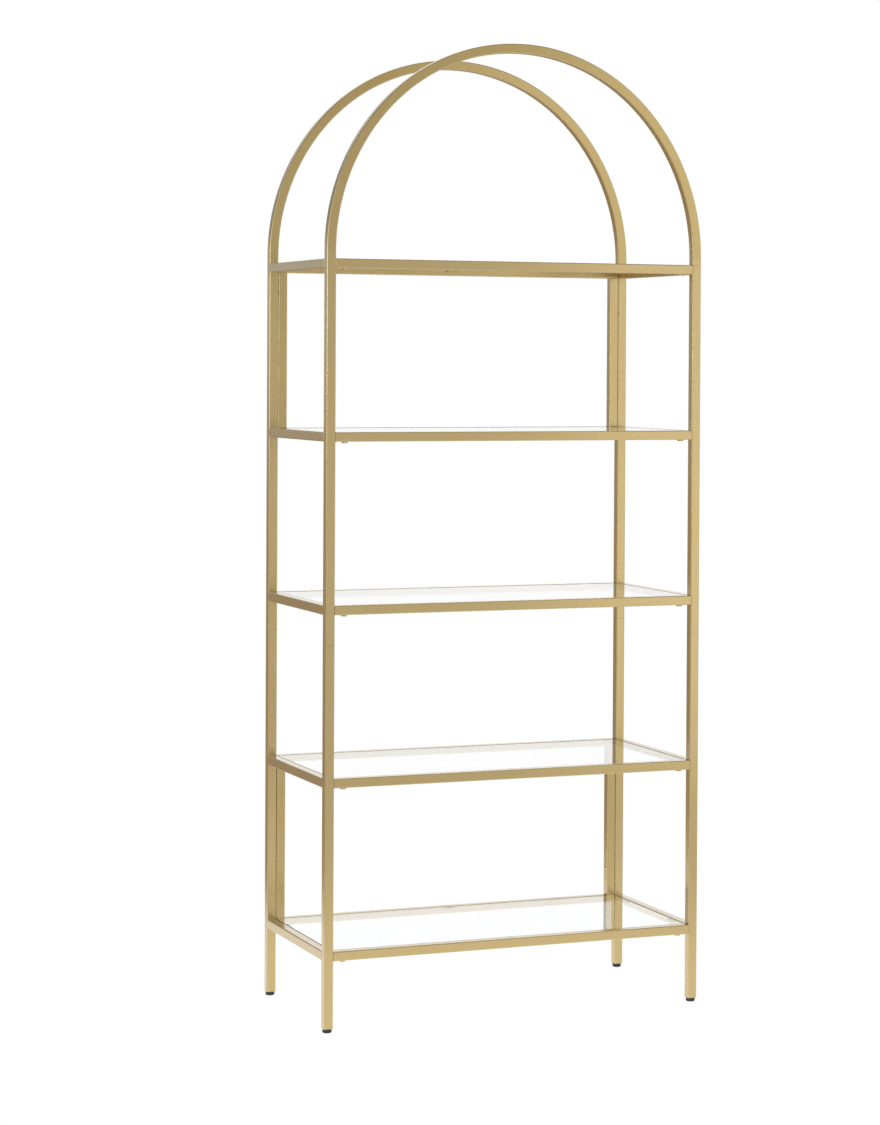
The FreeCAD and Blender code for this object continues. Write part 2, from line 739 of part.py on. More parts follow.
def write_nodes():
    """Checks every object and writes each piece to its own file."""
    doc.recompute()
    failed = [item.Label for item in doc.Objects if "Invalid" in item.State or "Error" in item.State]
    if failed:
        raise RuntimeError(f"not built: {failed}")
    for node in nodes:
        if node.Shape.isNull() or not node.Shape.isValid():
            raise RuntimeError(f"{node.Label}: no valid shape")
    os.makedirs("parts", exist_ok=True)
    for node in nodes:
        node.Shape.exportStep(f"parts/{node.Label}.step")
        print(node.Label, len(node.Shape.Solids), round(node.Shape.Volume))


posts()
arches()
rails()
stiles()
glass_panes()
feet()
rail_fastenings()
frame_fastenings()
glass_supports()
inner_pieces()
write_nodes()
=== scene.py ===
"""The looks of the etagere: satin gold tube, clear glass shelves and black feet, in a white studio.

Everything is in metres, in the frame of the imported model: the origin is on the floor under the middle of
the unit, +X points to the right of someone facing it, +Y to the back and +Z up.
"""

import logging
from collections.abc import Callable
from dataclasses import dataclass, field
from enum import Enum
from functools import partial
from math import cos, pi, radians, sin, tan

import bpy
import numpy as np
from bpy.types import ID, Material, Node, NodeSocket, NodeTree, Object, World
from mathutils import Matrix, Vector


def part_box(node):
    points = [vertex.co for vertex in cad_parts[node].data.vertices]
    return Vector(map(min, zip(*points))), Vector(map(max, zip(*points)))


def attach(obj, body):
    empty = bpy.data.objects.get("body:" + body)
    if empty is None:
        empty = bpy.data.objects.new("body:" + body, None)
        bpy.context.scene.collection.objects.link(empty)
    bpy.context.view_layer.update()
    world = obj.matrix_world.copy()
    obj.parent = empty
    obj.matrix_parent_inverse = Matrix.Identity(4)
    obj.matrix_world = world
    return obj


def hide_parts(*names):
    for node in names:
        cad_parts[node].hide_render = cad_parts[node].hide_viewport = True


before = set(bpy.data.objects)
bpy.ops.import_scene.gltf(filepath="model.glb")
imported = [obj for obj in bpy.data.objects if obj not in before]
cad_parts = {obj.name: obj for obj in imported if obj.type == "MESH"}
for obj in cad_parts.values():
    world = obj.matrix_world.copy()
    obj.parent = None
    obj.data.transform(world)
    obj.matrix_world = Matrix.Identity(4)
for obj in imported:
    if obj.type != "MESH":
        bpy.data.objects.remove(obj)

log = logging.getLogger("etagere")

AddNode = Callable[..., Node]
Array = np.ndarray

MM = 0.001
TINY = 1e-12
WHITE = (1.0, 1.0, 1.0, 1.0)
SMOOTH = {"interpolation_type": "SMOOTHSTEP"}
SHELF_NUMBERS = range(1, 6)
ENDS = ("front", "rear")
SIDES = ("left", "right")
CORNERS = [f"{end}_{side}" for end in ENDS for side in SIDES]
FRAME_LEVELS = ("upper", "lower")


class Slot(Enum):
    """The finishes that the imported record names."""

    GOLD = "gold_steel"
    ZINC = "zinc_steel"
    BLACK = "black_plastic"
    GLASS = "clear_glass"
    BUMPER = "clear_rubber"


class BoltHead(Enum):
    """The two kinds of bolt: low heads that stand on a rail, and countersunk heads flush with a stile."""

    LOW = "low"
    SUNK = "sunk"


class Axis(Enum):
    """The direction that a straight tube runs in."""

    X = 0
    Y = 1
    Z = 2


# Small tools for colours, nodes and objects


def linear(hex_colour: str) -> tuple[float, float, float, float]:
    """Turns an sRGB hex colour into the linear colour that shaders take.

    Args:
        hex_colour: Six hex digits after a hash sign.

    Returns:
        Red, green, blue and an alpha of 1.
    """
    channels = [int(hex_colour[start : start + 2], 16) / 255 for start in (1, 3, 5)]
    red, green, blue = (c / 12.92 if c <= 0.04045 else ((c + 0.055) / 1.055) ** 2.4 for c in channels)
    return red, green, blue, 1.0


def add_node(
    tree: NodeTree, kind: str, inputs: dict[str | int, object] | None = None, **settings: object
) -> Node:
    """Adds a shader node, sets its properties and fills its inputs.

    Args:
        tree: The node tree that gets the node.
        kind: The node's type name, without the ShaderNode that starts it.
        inputs: Input names or numbers, each with a value, or with a socket or a node's first output to link.
        settings: Property names and their values.

    Returns:
        The new node.
    """
    node = tree.nodes.new(f"ShaderNode{kind}")
    for name, setting in settings.items():
        setattr(node, name, setting)
    for name, source in (inputs or {}).items():
        if isinstance(source, Node):
            source = next(socket for socket in source.outputs if socket.enabled)
        if isinstance(source, NodeSocket):
            tree.links.new(source, node.inputs[name])
        else:
            node.inputs[name].default_value = source
    return node


def emptied(owner: Material | World) -> AddNode:
    """Empties the node tree of a material or a world, and gives add_node bound to that tree."""
    owner.use_nodes = True
    owner.node_tree.nodes.clear()
    return partial(add_node, owner.node_tree)


def new_object(name: str, data: ID) -> Object:
    """Makes an object at the origin and links it to the scene."""
    thing = bpy.data.objects.new(name, data)
    bpy.context.scene.collection.objects.link(thing)
    return thing


def corners_of(node: str) -> tuple[Array, Array]:
    """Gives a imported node's lowest and highest corners as arrays."""
    low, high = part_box(node)
    return np.array(low), np.array(high)


# Small tools for shapes


def corner_angles(steps: int) -> Array:
    """Gives the angles of the normals round an outline with round corners, four quarter turns in a row."""
    quarter = np.linspace(0, pi / 2, steps + 1)
    return (np.arange(4)[:, None] * pi / 2 + quarter).ravel()


def rounded_outline(half: Array | float, corner: float, insets: Array, steps: int) -> tuple[Array, Array]:
    """Gives a rectangle with round corners about the origin, once for each inset.

    A point is its corner's centre plus the corner radius, less the inset, times (cos a, sin a), where a runs
    a quarter turn at each corner. The steps from one corner to the next are the flats.

    Args:
        half: Half the rectangle's sides.
        corner: The corner radius.
        insets: How far each outline lies inside the rectangle.
        steps: Steps in a corner.

    Returns:
        Points, insets by columns by two, and outward normals, columns by two.
    """
    angle = corner_angles(steps)
    normals = np.stack([np.cos(angle), np.sin(angle)], axis=-1)
    signs = np.array([(1, 1), (-1, 1), (-1, -1), (1, -1)])
    centres = np.repeat(signs * (half - corner), steps + 1, axis=0)
    return centres + (corner - insets)[:, None, None] * normals, normals


def quarter_round(steps: int) -> tuple[Array, Array]:
    """Gives a quarter circle of radius 1 from a face to a side: 1 - sin t inwards and 1 - cos t upwards."""
    turn = np.linspace(0, pi / 2, steps + 1)
    return 1 - np.sin(turn), 1 - np.cos(turn)


def revolved(radii: Array, heights: Array, centre: Array, columns: int = 48) -> Array:
    """Turns a profile about an upright axis: x = r cos a, y = r sin a, z = h, with a running one full turn.

    Args:
        radii: The profile's radii, one for each row, or rows by columns where they change round the turn.
        heights: The profile's heights over the centre.
        centre: The axis's foot.
        columns: Points in one turn.

    Returns:
        Points, rows by columns by xyz.
    """
    angle = np.linspace(0, 2 * pi, columns, endpoint=False)
    radius = np.broadcast_to(radii if radii.ndim == 2 else radii[:, None], (len(heights), columns))
    height = np.broadcast_to(heights[:, None], radius.shape)
    return np.stack([radius * np.cos(angle), radius * np.sin(angle), height], axis=-1) + centre


@dataclass(frozen=True)
class Countersink:
    """A countersunk hole through a tube's wall, in the flat between two rows and two columns of its grid."""

    row: int
    column: int
    mouth: float
    throat: float
    corner_points: int = 8
    rim_wear: float = 0.7


@dataclass
class Facets:
    """Vertices, faces of four corners and what each corner carries.

    A corner that names the same vertex as the one before it is left out, so a face can be a triangle.
    """

    vertices: Array
    faces: Array
    normals: Array | None = None
    places: Array | None = None
    edge: Array | None = None

    def flat_normals(self) -> Array:
        """Gives each face's own normal, from the cross product of its diagonals."""
        a, b, c, d = (self.vertices[self.faces[..., corner]] for corner in range(4))
        normal = np.cross(c - a, d - b)
        return normal / np.maximum(np.linalg.norm(normal, axis=-1, keepdims=True), TINY)

    def build(self, name: str, caps: list[Array], sharp_angle: float) -> Object:
        """Puts the facets into a mesh object at the origin.

        Args:
            name: The object's name.
            caps: Flat end faces, each a row of vertex numbers.
            sharp_angle: Creases sharper than this stay crisp where the corners carry no normals.

        Returns:
            The new object, linked to the scene.
        """
        kept = self.faces != np.roll(self.faces, 1, axis=1)
        loops = np.concatenate([self.faces[kept], *caps])
        sizes = np.concatenate([kept.sum(axis=1), [len(cap) for cap in caps]]).astype(int)
        mesh = bpy.data.meshes.new(name)
        mesh.vertices.add(len(self.vertices))
        mesh.vertices.foreach_set("co", self.vertices.ravel())
        mesh.loops.add(len(loops))
        mesh.loops.foreach_set("vertex_index", loops)
        mesh.polygons.add(len(sizes))
        mesh.polygons.foreach_set("loop_start", np.cumsum(sizes) - sizes)
        mesh.update(calc_edges=True)
        if self.places is not None:
            layer = mesh.uv_layers.new(name="tube")
            layer.data.foreach_set("uv", self.places[kept].ravel())
        if self.edge is not None:
            attribute = mesh.attributes.new("edge", "FLOAT", "POINT")
            attribute.data.foreach_set("value", self.edge.ravel())
        if self.normals is None:
            mesh.set_sharp_from_angle(angle=sharp_angle)
            for cap in mesh.polygons[len(self.faces) :]:
                cap.use_smooth = False
        else:
            mesh.normals_split_custom_set(self.normals[kept].tolist())
        mesh.validate(clean_customdata=False)
        mesh.update()
        return new_object(name, mesh)


@dataclass
class GridSurface:
    """A surface given as a grid of points: columns close on themselves, rows close too or end in flat caps.

    The points are rows by columns by xyz. Where normals are given, one for each point, they shade the
    surface, except on the flat strips. Without them, creases sharper than the sharp angle and the caps
    stay crisp.
    """

    points: Array
    looped: bool = False
    normals: Array | None = None
    flat_strips: tuple[int, ...] = ()
    row_uv: Array | None = None
    column_uv: Array | None = None
    edge: Array | None = None
    holes: tuple[Countersink, ...] = ()
    sharp_angle: float = radians(32)

    def is_inside_out(self, quads: Array) -> bool:
        """Tells whether a capped grid's faces point inwards, from the sign of the volume that they close.

        Args:
            quads: Vertex numbers, strips by columns by four.

        Returns:
            True if the volume comes out negative.
        """
        vertices = self.points.reshape(-1, 3)
        a, b, c, d = (vertices[quads[..., corner]] for corner in range(4))
        volume = np.einsum("...i,...i", a, np.cross(b, c) + np.cross(c, d)).sum()
        for ring, sign in ((self.points[0], 1), (self.points[-1], -1)):
            cap = np.cross(np.roll(ring, -1, axis=0), ring)
            volume += sign * (cap @ ring.mean(axis=0)).sum()
        return bool(volume < 0)

    def pierce(self, hole: Countersink, quads: Array, facets: Facets) -> None:
        """Adds a hole's mouth and throat, and the faces that join them to the flat and to the bore behind it.

        Both are circles, radius times (cos a, sin a) along the flat's two edges. The angle a starts half a
        step past the direction against the first edge, so each quarter of the points lies nearest to one
        corner of the flat.

        Args:
            hole: The hole.
            quads: Vertex numbers of the grid, strips by columns by four.
            facets: The facets that get the hole, without the two quads in its place.
        """
        flat = quads[hole.row, hole.column]
        bore = quads[len(self.points) - 2 - hole.row, hole.column][::-1]
        corner = facets.vertices[flat[0]]
        across, along = facets.vertices[flat[1]] - corner, facets.vertices[flat[3]] - corner
        across, along = across / np.linalg.norm(across), along / np.linalg.norm(along)
        count = 4 * hole.corner_points
        angle = 2 * pi * (np.arange(count) + 0.5) / count - pi
        ring = np.cos(angle)[:, None] * across + np.sin(angle)[:, None] * along
        mouth = facets.vertices[flat].mean(axis=0) + hole.mouth * ring
        throat = facets.vertices[bore].mean(axis=0) + hole.throat * ring
        fresh = len(facets.vertices) + np.arange(2 * count).reshape(2, -1)
        skins = [np.repeat(skin, hole.corner_points) for skin in (flat, bore)]
        rings = np.stack([skins[0], *fresh, skins[1]])
        following = np.roll(rings, -1, axis=1)
        faces = np.stack([rings[:-1], following[:-1], following[1:], rings[1:]], axis=-1).reshape(-1, 4)
        facets.vertices = np.concatenate([facets.vertices, mouth, throat])
        facets.edge = np.concatenate([facets.edge, np.full(fresh.size, hole.rim_wear)])
        offset = facets.vertices[faces] - corner
        places = [self.row_uv[hole.row] + offset @ along, self.column_uv[hole.column] + offset @ across]
        normals = Facets(facets.vertices, faces).flat_normals()
        facets.faces = np.concatenate([facets.faces, faces])
        facets.places = np.concatenate([facets.places, np.stack(places, axis=-1)])
        facets.normals = np.concatenate([facets.normals, np.repeat(normals[:, None], 4, axis=1)])

    def build(self, name: str) -> Object:
        """Puts the grid, its holes and its caps into a mesh object at the origin.

        Args:
            name: The object's name.

        Returns:
            The new object, linked to the scene.
        """
        rows, columns = self.points.shape[:2]
        strips = rows if self.looped else rows - 1
        row, column = np.meshgrid(np.arange(strips), np.arange(columns), indexing="ij")
        row = np.stack([row, row, row + 1, row + 1], axis=-1)
        column = np.stack([column, column + 1, column + 1, column], axis=-1)
        quads = (row % rows) * columns + column % columns
        whole = np.ones(quads.shape[:2], dtype=bool)
        for hole in self.holes:
            whole[[hole.row, rows - 2 - hole.row], hole.column] = False
        facets = Facets(self.points.reshape(-1, 3), quads[whole])
        if self.edge is not None:
            facets.edge = self.edge.ravel()
        if self.row_uv is not None:
            facets.places = np.stack([self.row_uv[row], self.column_uv[column]], axis=-1)[whole]
        if self.normals is not None:
            flat = np.isin(row[..., 0][whole], self.flat_strips)
            facets.normals = self.normals.reshape(-1, 3)[facets.faces]
            facets.normals[flat] = facets.flat_normals()[flat][:, None]
        for hole in self.holes:
            self.pierce(hole, quads, facets)
        caps = []
        if not self.looped:
            caps = [np.arange(columns)[::-1], np.arange(columns) + (rows - 1) * columns]
            if self.is_inside_out(quads):
                caps = [cap[::-1] for cap in caps]
                facets.faces = facets.faces[:, ::-1]
        return facets.build(name, caps, self.sharp_angle)


# Finishes


@dataclass(frozen=True)
class UnevenFinish:
    """A finish whose roughness swings about its middle value with a pattern."""

    roughness: float
    roughness_swing: float = 0.1

    @property
    def gloss(self) -> dict[str, float]:
        """The smoothest and the roughest value, as the inputs that map a pattern to the roughness."""
        swing = self.roughness_swing
        return {"To Min": self.roughness - swing, "To Max": self.roughness + swing}


@dataclass(frozen=True)
class SatinGold(UnevenFinish):
    """Steel tube, polished along its length, then plated and lacquered to a satin champagne gold."""

    body_hex: str = "#CDB374"
    shade_hex: str = "#C6AB6D"
    rubbed_hex: str = "#D9C494"
    roughness: float = 0.27
    roughness_swing: float = 0.015
    streak_length: float = 90 * MM
    streak_width: float = 5 * MM
    streak_detail: float = 1.0
    streak_range: tuple[float, float] = (0.3, 0.7)
    cloud_size: float = 70 * MM
    cloud_detail: float = 3.0
    relief: float = 0.002 * MM
    lacquer: float = 1.0
    lacquer_roughness: float = 0.2

    def material(self) -> Material:
        """Builds the finish.

        The lacquer gives the eye a soft, even highlight, the polishing leaves faint streaks along the tube,
        and the plating is a little thinner and paler on the corners. The real streaks are finer than a
        pixel, so they are drawn several times as wide as they are.

        Returns:
            The material.
        """
        material = bpy.data.materials.new("satin_gold_plate_on_steel")
        add = emptied(material)
        skin = add("UVMap", uv_map="tube")
        streaks_per_metre = (1 / self.streak_length, 1 / self.streak_width, 1.0)
        stretched = add("Mapping", {"Vector": skin, "Scale": streaks_per_metre})
        streaks = add("TexNoise", {"Vector": stretched, "Scale": 1.0, "Detail": self.streak_detail})
        place = add("TexCoord").outputs["Object"]
        clouds = add("TexNoise", {"Vector": place, "Scale": 1 / self.cloud_size, "Detail": self.cloud_detail})
        body, shade, rubbed = linear(self.body_hex), linear(self.shade_hex), linear(self.rubbed_hex)
        tone = add("Mix", {"Factor": clouds, "A": body, "B": shade}, data_type="RGBA")
        edge = add("Attribute", attribute_name="edge").outputs["Fac"]
        worn = add("Math", {0: edge, 1: clouds}, operation="MULTIPLY")
        colour = add("Mix", {"Factor": worn, "A": tone, "B": rubbed}, data_type="RGBA")
        least, most = self.streak_range
        gloss = add("MapRange", {"Value": streaks, "From Min": least, "From Max": most, **self.gloss})
        shader = add(
            "BsdfPrincipled",
            {
                "Base Color": colour,
                "Metallic": 1.0,
                "Roughness": gloss,
                "Normal": add("Bump", {"Height": streaks, "Distance": self.relief, "Strength": 1.0}),
                "Coat Weight": self.lacquer,
                "Coat Roughness": self.lacquer_roughness,
            },
        )
        add("OutputMaterial", {"Surface": shader})
        return material


@dataclass(frozen=True)
class ZincPlate(UnevenFinish):
    """Turned and formed steel, bright zinc plated."""

    pale_hex: str = "#B9BBB8"
    dull_hex: str = "#94958F"
    roughness: float = 0.34
    spangle_size: float = 2.5 * MM
    spangle_detail: float = 4.0

    def material(self) -> Material:
        """Builds the finish: a cool grey metal with the cloudy patches that zinc grows.

        Returns:
            The material.
        """
        material = bpy.data.materials.new("bright_zinc_plate_on_steel")
        add = emptied(material)
        place = add("TexCoord").outputs["Object"]
        spangle = {"Scale": 1 / self.spangle_size, "Detail": self.spangle_detail}
        patches = add("TexNoise", {"Vector": place, **spangle})
        pale, dull = linear(self.pale_hex), linear(self.dull_hex)
        colour = add("Mix", {"Factor": patches, "A": pale, "B": dull}, data_type="RGBA")
        gloss = add("MapRange", {"Value": patches, **self.gloss})
        shader = add("BsdfPrincipled", {"Base Color": colour, "Metallic": 1.0, "Roughness": gloss})
        add("OutputMaterial", {"Surface": shader})
        return material


@dataclass(frozen=True)
class MouldedNylon(UnevenFinish):
    """Black nylon, injection moulded with a fine spark texture."""

    black_hex: str = "#1E1E1D"
    scuffed_hex: str = "#3B3A37"
    roughness: float = 0.4
    roughness_swing: float = 0.12
    ior: float = 1.53
    texture_grain: float = 0.7 * MM
    texture_detail: float = 2.0
    texture_depth: float = 0.03 * MM
    scuff_size: float = 6 * MM
    scuff_detail: float = 5.0
    scuff_start: float = 0.5
    scuff_full: float = 0.75

    def material(self) -> Material:
        """Builds the finish: a soft dark sheen broken by the mould's grain and by greyish scuffs.

        Returns:
            The material.
        """
        material = bpy.data.materials.new("moulded_black_nylon")
        add = emptied(material)
        place = add("TexCoord").outputs["Object"]
        texture = {"Scale": 1 / self.texture_grain, "Detail": self.texture_detail}
        grain = add("TexNoise", {"Vector": place, **texture})
        scuffs = add("TexNoise", {"Vector": place, "Scale": 1 / self.scuff_size, "Detail": self.scuff_detail})
        rubbed = add("MapRange", {"Value": scuffs, "From Min": self.scuff_start, "From Max": self.scuff_full})
        black, grey = linear(self.black_hex), linear(self.scuffed_hex)
        shader = add(
            "BsdfPrincipled",
            {
                "Base Color": add("Mix", {"Factor": rubbed, "A": black, "B": grey}, data_type="RGBA"),
                "Roughness": add("MapRange", {"Value": scuffs, **self.gloss}),
                "IOR": self.ior,
                "Normal": add("Bump", {"Height": grain, "Distance": self.texture_depth}),
            },
        )
        add("OutputMaterial", {"Surface": shader})
        return material


@dataclass(frozen=True)
class FloatGlass:
    """Clear float glass with polished faces and edges."""

    tint_hex: str = "#D5EBDF"
    tint_per_metre: float = 9.0
    ior: float = 1.52
    polish: float = 0.6

    def material(self) -> Material:
        """Builds the finish: colourless through the pane, faintly green along it, and open to lamp light.

        Returns:
            The material.
        """
        material = bpy.data.materials.new("clear_float_glass")
        add = emptied(material)
        glass = add(
            "BsdfPrincipled",
            {
                "Base Color": WHITE,
                "Roughness": 0.0,
                "IOR": self.ior,
                "Transmission Weight": 1.0,
                "Coat Weight": self.polish,
                "Coat Roughness": 0.0,
            },
        )
        shadow = add("LightPath").outputs["Is Shadow Ray"]
        surface = add("MixShader", {0: shadow, 1: glass, 2: add("BsdfTransparent")})
        tint = add("VolumeAbsorption", {"Color": linear(self.tint_hex), "Density": self.tint_per_metre})
        add("OutputMaterial", {"Surface": surface, "Volume": tint})
        return material


@dataclass(frozen=True)
class ClearUrethane(UnevenFinish):
    """Soft clear urethane, cast as small self-adhesive pads."""

    tint_hex: str = "#E9EBEA"
    roughness: float = 0.25
    ior: float = 1.5
    clearness: float = 0.6
    haze_size: float = 3 * MM
    haze_detail: float = 2.0

    def material(self) -> Material:
        """Builds the finish: a milky, half clear body with a slightly uneven gloss.

        Returns:
            The material.
        """
        material = bpy.data.materials.new("cast_clear_urethane")
        add = emptied(material)
        place = add("TexCoord").outputs["Object"]
        haze = add("TexNoise", {"Vector": place, "Scale": 1 / self.haze_size, "Detail": self.haze_detail})
        shader = add(
            "BsdfPrincipled",
            {
                "Base Color": linear(self.tint_hex),
                "Roughness": add("MapRange", {"Value": haze, **self.gloss}),
                "IOR": self.ior,
                "Transmission Weight": self.clearness,
            },
        )
        add("OutputMaterial", {"Surface": shader})
        return material


@dataclass
class Finishes:
    """The unit's materials, one for each slot of the record."""

    by_slot: dict[Slot, Material] = field(default_factory=dict)

    def build(self) -> None:
        """Builds every material."""
        self.by_slot = {
            Slot.GOLD: SatinGold().material(),
            Slot.ZINC: ZincPlate().material(),
            Slot.BLACK: MouldedNylon().material(),
            Slot.GLASS: FloatGlass().material(),
            Slot.BUMPER: ClearUrethane().material(),
        }

    def dress(self, piece: Object, slot: Slot) -> None:
        """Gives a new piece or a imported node's object the slot's material alone."""
        piece.data.materials.clear()
        piece.data.materials.append(self.by_slot[slot])

    def place(self, piece: Object, slot: Slot, body: str, node: str) -> None:
        """Dresses a new piece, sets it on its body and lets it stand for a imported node.

        Args:
            piece: The new piece.
            slot: Its finish.
            body: The body that it moves with.
            node: The node that it stands for.
        """
        self.dress(piece, slot)
        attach(piece, body)
        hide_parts(node)
        log.info("%s: %d faces, on %s, for %s", piece.name, len(piece.data.polygons), body, node)


# Tubes


@dataclass(frozen=True)
class TubeSection:
    """The rounded square section of the tube that the whole frame is made of."""

    side: float = 19 * MM
    wall: float = 1.2 * MM
    corner: float = 2 * MM
    corner_steps: int = 6

    def rings(self, insets: Array) -> tuple[Array, Array]:
        """Gives the section's outline, moved inwards by each inset, and its outward normals."""
        return rounded_outline(self.side / 2, self.corner, insets, self.corner_steps)

    def flat_facing(self, quarter_turns: int) -> int:
        """Gives the column where the flat starts that faces a number of quarter turns from the first axis."""
        return (self.corner_steps + 1) * (quarter_turns or 4) - 1

    def girth(self) -> Array:
        """Gives the distance round the outer skin at each column, with the closing one added."""
        outlines, _ = self.rings(np.zeros(1))
        steps = np.linalg.norm(np.roll(outlines[0], -1, axis=0) - outlines[0], axis=-1)
        return np.concatenate([[0.0], np.cumsum(steps)])

    def roundness(self) -> Array:
        """Gives 1 in the middle of each corner, falling to 0 at the flats."""
        return np.abs(np.sin(2 * corner_angles(self.corner_steps)))


@dataclass(frozen=True)
class StraightPath:
    """A straight tube's centre line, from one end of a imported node's box to the other."""

    start: Array
    axis: Axis
    length: float

    @classmethod
    def through(cls, node: str) -> "StraightPath":
        """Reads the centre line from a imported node's box, whose longest side is the tube's length."""
        low, high = corners_of(node)
        longest = int(np.argmax(high - low))
        start = (low + high) / 2
        start[longest] = low[longest]
        return cls(start, Axis(longest), float((high - low)[longest]))

    def rows(self, ease: float) -> Array:
        """Gives the distances of the rows along the tube: its ends and the ends' eased edges."""
        return np.array([0, ease, self.length - ease, self.length])

    def at(self, distance: Array) -> tuple[Array, Array, Array]:
        """Gives points on the centre line and the section's two axes there.

        Args:
            distance: Distances from the start.

        Returns:
            Points, first axes and second axes, each rows by xyz.
        """
        along, first, second = np.roll(np.eye(3), -self.axis.value, axis=0)
        points = self.start + distance[:, None] * along
        return points, np.broadcast_to(first, points.shape), np.broadcast_to(second, points.shape)


@dataclass(frozen=True)
class ArchPath:
    """An arch's centre line: a leg, a side bend, the crown bend, the other side bend and the other leg."""

    span: float
    foot: float
    depth: float
    leg: float = 16 * MM
    side_bend: float = 420.5 * MM
    haunch: float = radians(44)
    step: float = 8 * MM

    @property
    def crown_bend(self) -> float:
        """Radius of the crown, which meets the side bends without a kink."""
        return self.side_bend - (self.side_bend - self.span) / cos(self.haunch)

    @property
    def stations(self) -> Array:
        """Distances along the line at which the legs and the bends end."""
        side, crown = self.side_bend * self.haunch, self.crown_bend * (pi - 2 * self.haunch)
        return np.cumsum([0, self.leg, side, crown, side, self.leg])

    def rows(self, ease: float) -> Array:
        """Gives the distances of the rows along the tube, close enough for the bends to look round."""
        length = self.stations[-1]
        bends = np.arange(self.leg, length - self.leg, self.step)
        return np.concatenate([[0, ease], bends, [length - self.leg, length - ease, length]])

    def at(self, distance: Array) -> tuple[Array, Array, Array]:
        """Gives points on the centre line and the section's two axes there.

        The line's heading turns evenly along each bend, so the angle t of the outward axis is a broken line
        over the distance. On a bend the point is the bend's centre plus its radius times (cos t, sin t). On
        a leg it is straight above the foot.

        Args:
            distance: Distances from the right foot.

        Returns:
            Points, outward axes and depth axes, each rows by xyz.
        """
        ends = self.stations
        turns = [0, 0, self.haunch, pi - self.haunch, pi, pi]
        turn = np.interp(distance, ends, turns)
        on_crown = (distance > ends[2]) & (distance < ends[3])
        rightward = np.where(distance < ends[-1] / 2, 1.0, -1.0)
        radius = np.where(on_crown, self.crown_bend, self.side_bend)
        centre_x = np.where(on_crown, 0.0, rightward * (self.span - self.side_bend))
        crown_rise = (self.side_bend - self.span) * tan(self.haunch)
        centre_z = self.foot + self.leg + np.where(on_crown, crown_rise, 0.0)
        below = np.maximum(self.leg - np.minimum(distance, ends[-1] - distance), 0.0)
        x, z = centre_x + radius * np.cos(turn), centre_z + radius * np.sin(turn) - below
        points = np.stack([x, np.full_like(distance, self.depth), z], axis=-1)
        first = np.stack([np.cos(turn), np.zeros_like(turn), np.sin(turn)], axis=-1)
        second = np.broadcast_to(np.array([0.0, 1.0, 0.0]), first.shape)
        return points, first, second


@dataclass(frozen=True)
class Tube:
    """A length of the square tube along a path, hollow, with its cut ends eased and any countersunk holes.

    The holes are distances along the path, all in the flat that faces a number of quarter turns from the
    section's first axis.
    """

    path: StraightPath | ArchPath
    section: TubeSection = TubeSection()
    ease: float = 0.3 * MM
    end_wear: float = 0.5
    end_wear_reach: float = 6 * MM
    holes: tuple[float, ...] = ()
    holes_face: int = 0
    hole_mouth: float = 6.1 * MM

    def skin(self, distance: Array, insets: Array) -> tuple[Array, Array]:
        """Carries the section along the path: point = path + x times first axis + y times second axis.

        Args:
            distance: The rows' distances along the path.
            insets: The rows' insets from the outer skin.

        Returns:
            Points and outward normals, rows by columns by xyz.
        """
        centre, first, second = (line[:, None] for line in self.path.at(distance))
        outlines, normals = self.section.rings(insets)
        points = centre + outlines[..., :1] * first + outlines[..., 1:] * second
        return points, normals[..., :1] * first + normals[..., 1:] * second

    def build(self, name: str) -> Object:
        """Builds the tube: the outer skin from end to end, then the bore back again, joined at the cut ends.

        Args:
            name: The object's name.

        Returns:
            The new object.
        """
        beside = self.section.side / 2 - self.section.corner
        around = [at + side * beside for at in self.holes for side in (-1, 1)]
        distance = np.sort(np.concatenate([self.path.rows(self.ease), around]))
        count = len(distance)
        insets = np.zeros(count)
        insets[[0, -1]] = self.ease
        outer, outer_normals = self.skin(distance, insets)
        inner, inner_normals = self.skin(distance[::-1], np.full(count, self.section.wall))
        near_end = np.exp(-np.minimum(distance, distance[-1] - distance) / self.end_wear_reach)
        wear = np.maximum(self.section.roundness()[None], self.end_wear * near_end[:, None])
        holes = [
            Countersink(
                row=int(np.searchsorted(distance, at)) - 1,
                column=self.section.flat_facing(self.holes_face),
                mouth=self.hole_mouth,
                throat=self.hole_mouth - self.section.wall,
            )
            for at in self.holes
        ]
        surface = GridSurface(
            points=np.concatenate([outer, inner]),
            looped=True,
            normals=np.concatenate([outer_normals, -inner_normals]),
            flat_strips=(0, count - 2, count - 1, 2 * count - 1),
            row_uv=np.concatenate([distance, distance[::-1], [0.0]]),
            column_uv=self.section.girth(),
            edge=np.concatenate([wear, np.zeros_like(wear)]),
            holes=tuple(holes),
        )
        return surface.build(name)


